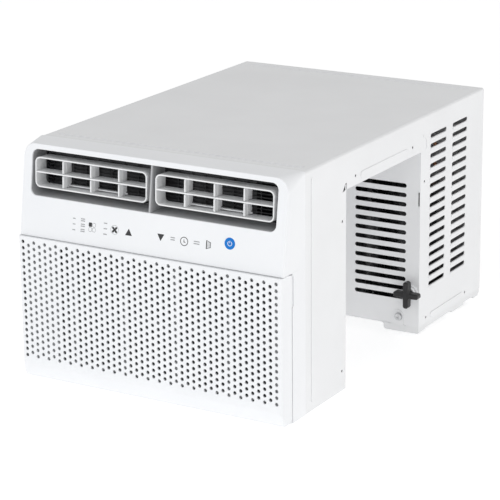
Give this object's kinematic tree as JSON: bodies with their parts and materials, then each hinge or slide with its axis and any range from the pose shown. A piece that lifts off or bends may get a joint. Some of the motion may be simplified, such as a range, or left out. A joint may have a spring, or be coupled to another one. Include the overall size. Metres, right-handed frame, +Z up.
{
  "type": "window air conditioner",
  "caption": "Over-the-sill window air conditioner: indoor and outdoor sections joined by a bridge, with tilting vents, a hinged intake panel and screw-out wall supports.",
  "frame": {"origin": "centre of the bounding box in plan, at the level of the indoor section's base", "axes": "+X to the right seen from the room, +Y from the room side to the outdoor side, +Z up"},
  "size_m": [0.494, 0.712, 0.386],
  "materials": {
    "cabinet_paint": "satin powder coat, fine orange peel",
    "pan_paint": "satin powder coat",
    "front_plastic": "fine-grained moulded plastic",
    "grey_plastic": "moulded plastic",
    "vent_plastic": "moulded plastic, slight sheen",
    "dark_plastic": "moulded plastic",
    "knob_plastic": "textured moulded plastic",
    "filter_net": "woven net",
    "circuit_board": "solder mask",
    "blue_key": "gloss film",
    "fin_aluminium": "rolled fins",
    "copper": "drawn copper tube",
    "zinc_steel": "zinc-plated sheet",
    "black_paint": "gloss black enamel",
    "rubber": "moulded rubber",
    "foam": "closed-cell foam",
    "screw_steel": "bright zinc plate"
  },
  "bodies": {
    "chassis": {"cabinet_shell": "cabinet_paint", "window_wall": "cabinet_paint", "room_wall": "cabinet_paint", "bridge_pan": "cabinet_paint", "indoor_pan": "pan_paint", "outdoor_pan": "pan_paint", "rear_panel": "cabinet_paint", "coil_guard": "dark_plastic", "front_bezel": "front_plastic", "vent_duct": "grey_plastic", "vent_guard": "dark_plastic", "control_board": "circuit_board", "power_key": "blue_key", "evaporator_coil": "fin_aluminium", "evaporator_bends": "copper", "scroll_housing": "dark_plastic", "blower_bearing": "rubber", "blower_motor": "zinc_steel", "bridge_foam": "foam", "suction_tube": "foam", "liquid_tube": "copper", "condenser_coil": "fin_aluminium", "condenser_bends": "copper", "fan_shroud": "dark_plastic", "fan_motor": "zinc_steel", "motor_bracket": "zinc_steel", "compressor": "black_paint", "accumulator": "black_paint", "compressor_grommets": "rubber", "control_box": "zinc_steel", "capacitor": "zinc_steel", "wall_bush_left": "front_plastic", "wall_bush_right": "front_plastic", "ground_screw": "screw_steel", "rear_screws": "screw_steel", "cord_gland": "rubber", "room_sensor": "rubber"},
    "front_panel": {"front_grille": "front_plastic", "filter_frame": "grey_plastic", "filter_mesh": "filter_net"},
    "blower": {"blower_wheel": "dark_plastic"},
    "outdoor_fan": {"condenser_fan": "dark_plastic"},
    "vent_left": {"vent_frame_left": "vent_plastic"},
    "vane_left_1": {"vane_left_1": "vent_plastic"},
    "vane_left_2": {"vane_left_2": "vent_plastic"},
    "vane_left_3": {"vane_left_3": "vent_plastic"},
    "vane_link_left": {"vane_link_left": "vent_plastic"},
    "knob_washer_left": {"knob_washer_left": "screw_steel"},
    "wall_knob_left": {"wall_knob_left": "knob_plastic", "wall_stud_left": "screw_steel"},
    "vent_right": {"vent_frame_right": "vent_plastic"},
    "vane_right_1": {"vane_right_1": "vent_plastic"},
    "vane_right_2": {"vane_right_2": "vent_plastic"},
    "vane_right_3": {"vane_right_3": "vent_plastic"},
    "vane_link_right": {"vane_link_right": "vent_plastic"},
    "knob_washer_right": {"knob_washer_right": "screw_steel"},
    "wall_knob_right": {"wall_knob_right": "knob_plastic", "wall_stud_right": "screw_steel"}
  },
  "joints": [
    {"name": "front_panel_hinge", "type": "hinge", "parent": "chassis", "child": "front_panel", "pos_m": [0, -0.342, 0.0092], "axis": [1, 0, 0], "range_deg": [0, 55]},
    {"name": "blower_spin", "type": "hinge", "parent": "chassis", "child": "blower", "pos_m": [-0.025, -0.221, 0.262], "axis": [1, 0, 0], "continuous": true},
    {"name": "fan_spin", "type": "hinge", "parent": "chassis", "child": "outdoor_fan", "pos_m": [-0.045, 0.279, 0.195], "axis": [0, 1, 0], "continuous": true},
    {"name": "vent_left_tilt", "type": "hinge", "parent": "chassis", "child": "vent_left", "pos_m": [-0.11175, -0.3217, 0.34], "axis": [1, 0, 0], "range_deg": [-20, 20]},
    {"name": "vane_left_1_turn", "type": "hinge", "parent": "vent_left", "child": "vane_left_1", "pos_m": [-0.16375, -0.3247, 0.34016], "axis": [0, 0.0523, 0.9986], "range_deg": [-30, 30]},
    {"name": "vane_left_2_turn", "type": "hinge", "parent": "vent_left", "child": "vane_left_2", "pos_m": [-0.11175, -0.3247, 0.34016], "axis": [0, 0.0523, 0.9986], "range_deg": [-30, 30]},
    {"name": "vane_left_3_turn", "type": "hinge", "parent": "vent_left", "child": "vane_left_3", "pos_m": [-0.05975, -0.3247, 0.34016], "axis": [0, 0.0523, 0.9986], "range_deg": [-30, 30]},
    {"name": "vane_link_left_pin", "type": "hinge", "parent": "vane_left_1", "child": "vane_link_left", "pos_m": [-0.16375, -0.31572, 0.32036], "axis": [0, 0.0523, 0.9986], "range_deg": [-30, 30]},
    {"name": "wall_screw_left_travel", "type": "slide", "parent": "chassis", "child": "knob_washer_left", "axis": [0, -1, 0], "range_m": [0, 0.008]},
    {"name": "wall_screw_left_turn", "type": "hinge", "parent": "knob_washer_left", "child": "wall_knob_left", "pos_m": [-0.224, 0.094, 0.082], "axis": [0, -1, 0], "range_deg": [0, 2304]},
    {"name": "vent_right_tilt", "type": "hinge", "parent": "chassis", "child": "vent_right", "pos_m": [0.11175, -0.3217, 0.34], "axis": [1, 0, 0], "range_deg": [-20, 20]},
    {"name": "vane_right_1_turn", "type": "hinge", "parent": "vent_right", "child": "vane_right_1", "pos_m": [0.05975, -0.3247, 0.34016], "axis": [0, 0.0523, 0.9986], "range_deg": [-30, 30]},
    {"name": "vane_right_2_turn", "type": "hinge", "parent": "vent_right", "child": "vane_right_2", "pos_m": [0.11175, -0.3247, 0.34016], "axis": [0, 0.0523, 0.9986], "range_deg": [-30, 30]},
    {"name": "vane_right_3_turn", "type": "hinge", "parent": "vent_right", "child": "vane_right_3", "pos_m": [0.16375, -0.3247, 0.34016], "axis": [0, 0.0523, 0.9986], "range_deg": [-30, 30]},
    {"name": "vane_link_right_pin", "type": "hinge", "parent": "vane_right_1", "child": "vane_link_right", "pos_m": [0.05975, -0.31572, 0.32036], "axis": [0, 0.0523, 0.9986], "range_deg": [-30, 30]},
    {"name": "wall_screw_right_travel", "type": "slide", "parent": "chassis", "child": "knob_washer_right", "axis": [0, -1, 0], "range_m": [0, 0.008]},
    {"name": "wall_screw_right_turn", "type": "hinge", "parent": "knob_washer_right", "child": "wall_knob_right", "pos_m": [0.224, 0.094, 0.082], "axis": [0, -1, 0], "range_deg": [0, 2304]}
  ],
  "couplings": [
    {"joint": "vane_left_2_turn", "follows": "vane_left_1_turn", "ratio": 1},
    {"joint": "vane_left_3_turn", "follows": "vane_left_1_turn", "ratio": 1},
    {"joint": "vane_link_left_pin", "follows": "vane_left_1_turn", "ratio": -1},
    {"joint": "wall_screw_left_turn", "follows": "wall_screw_left_travel", "rad_per_m": 5026.5},
    {"joint": "vane_right_2_turn", "follows": "vane_right_1_turn", "ratio": 1},
    {"joint": "vane_right_3_turn", "follows": "vane_right_1_turn", "ratio": 1},
    {"joint": "vane_link_right_pin", "follows": "vane_right_1_turn", "ratio": -1},
    {"joint": "wall_screw_right_turn", "follows": "wall_screw_right_travel", "rad_per_m": 5026.5}
  ]
}
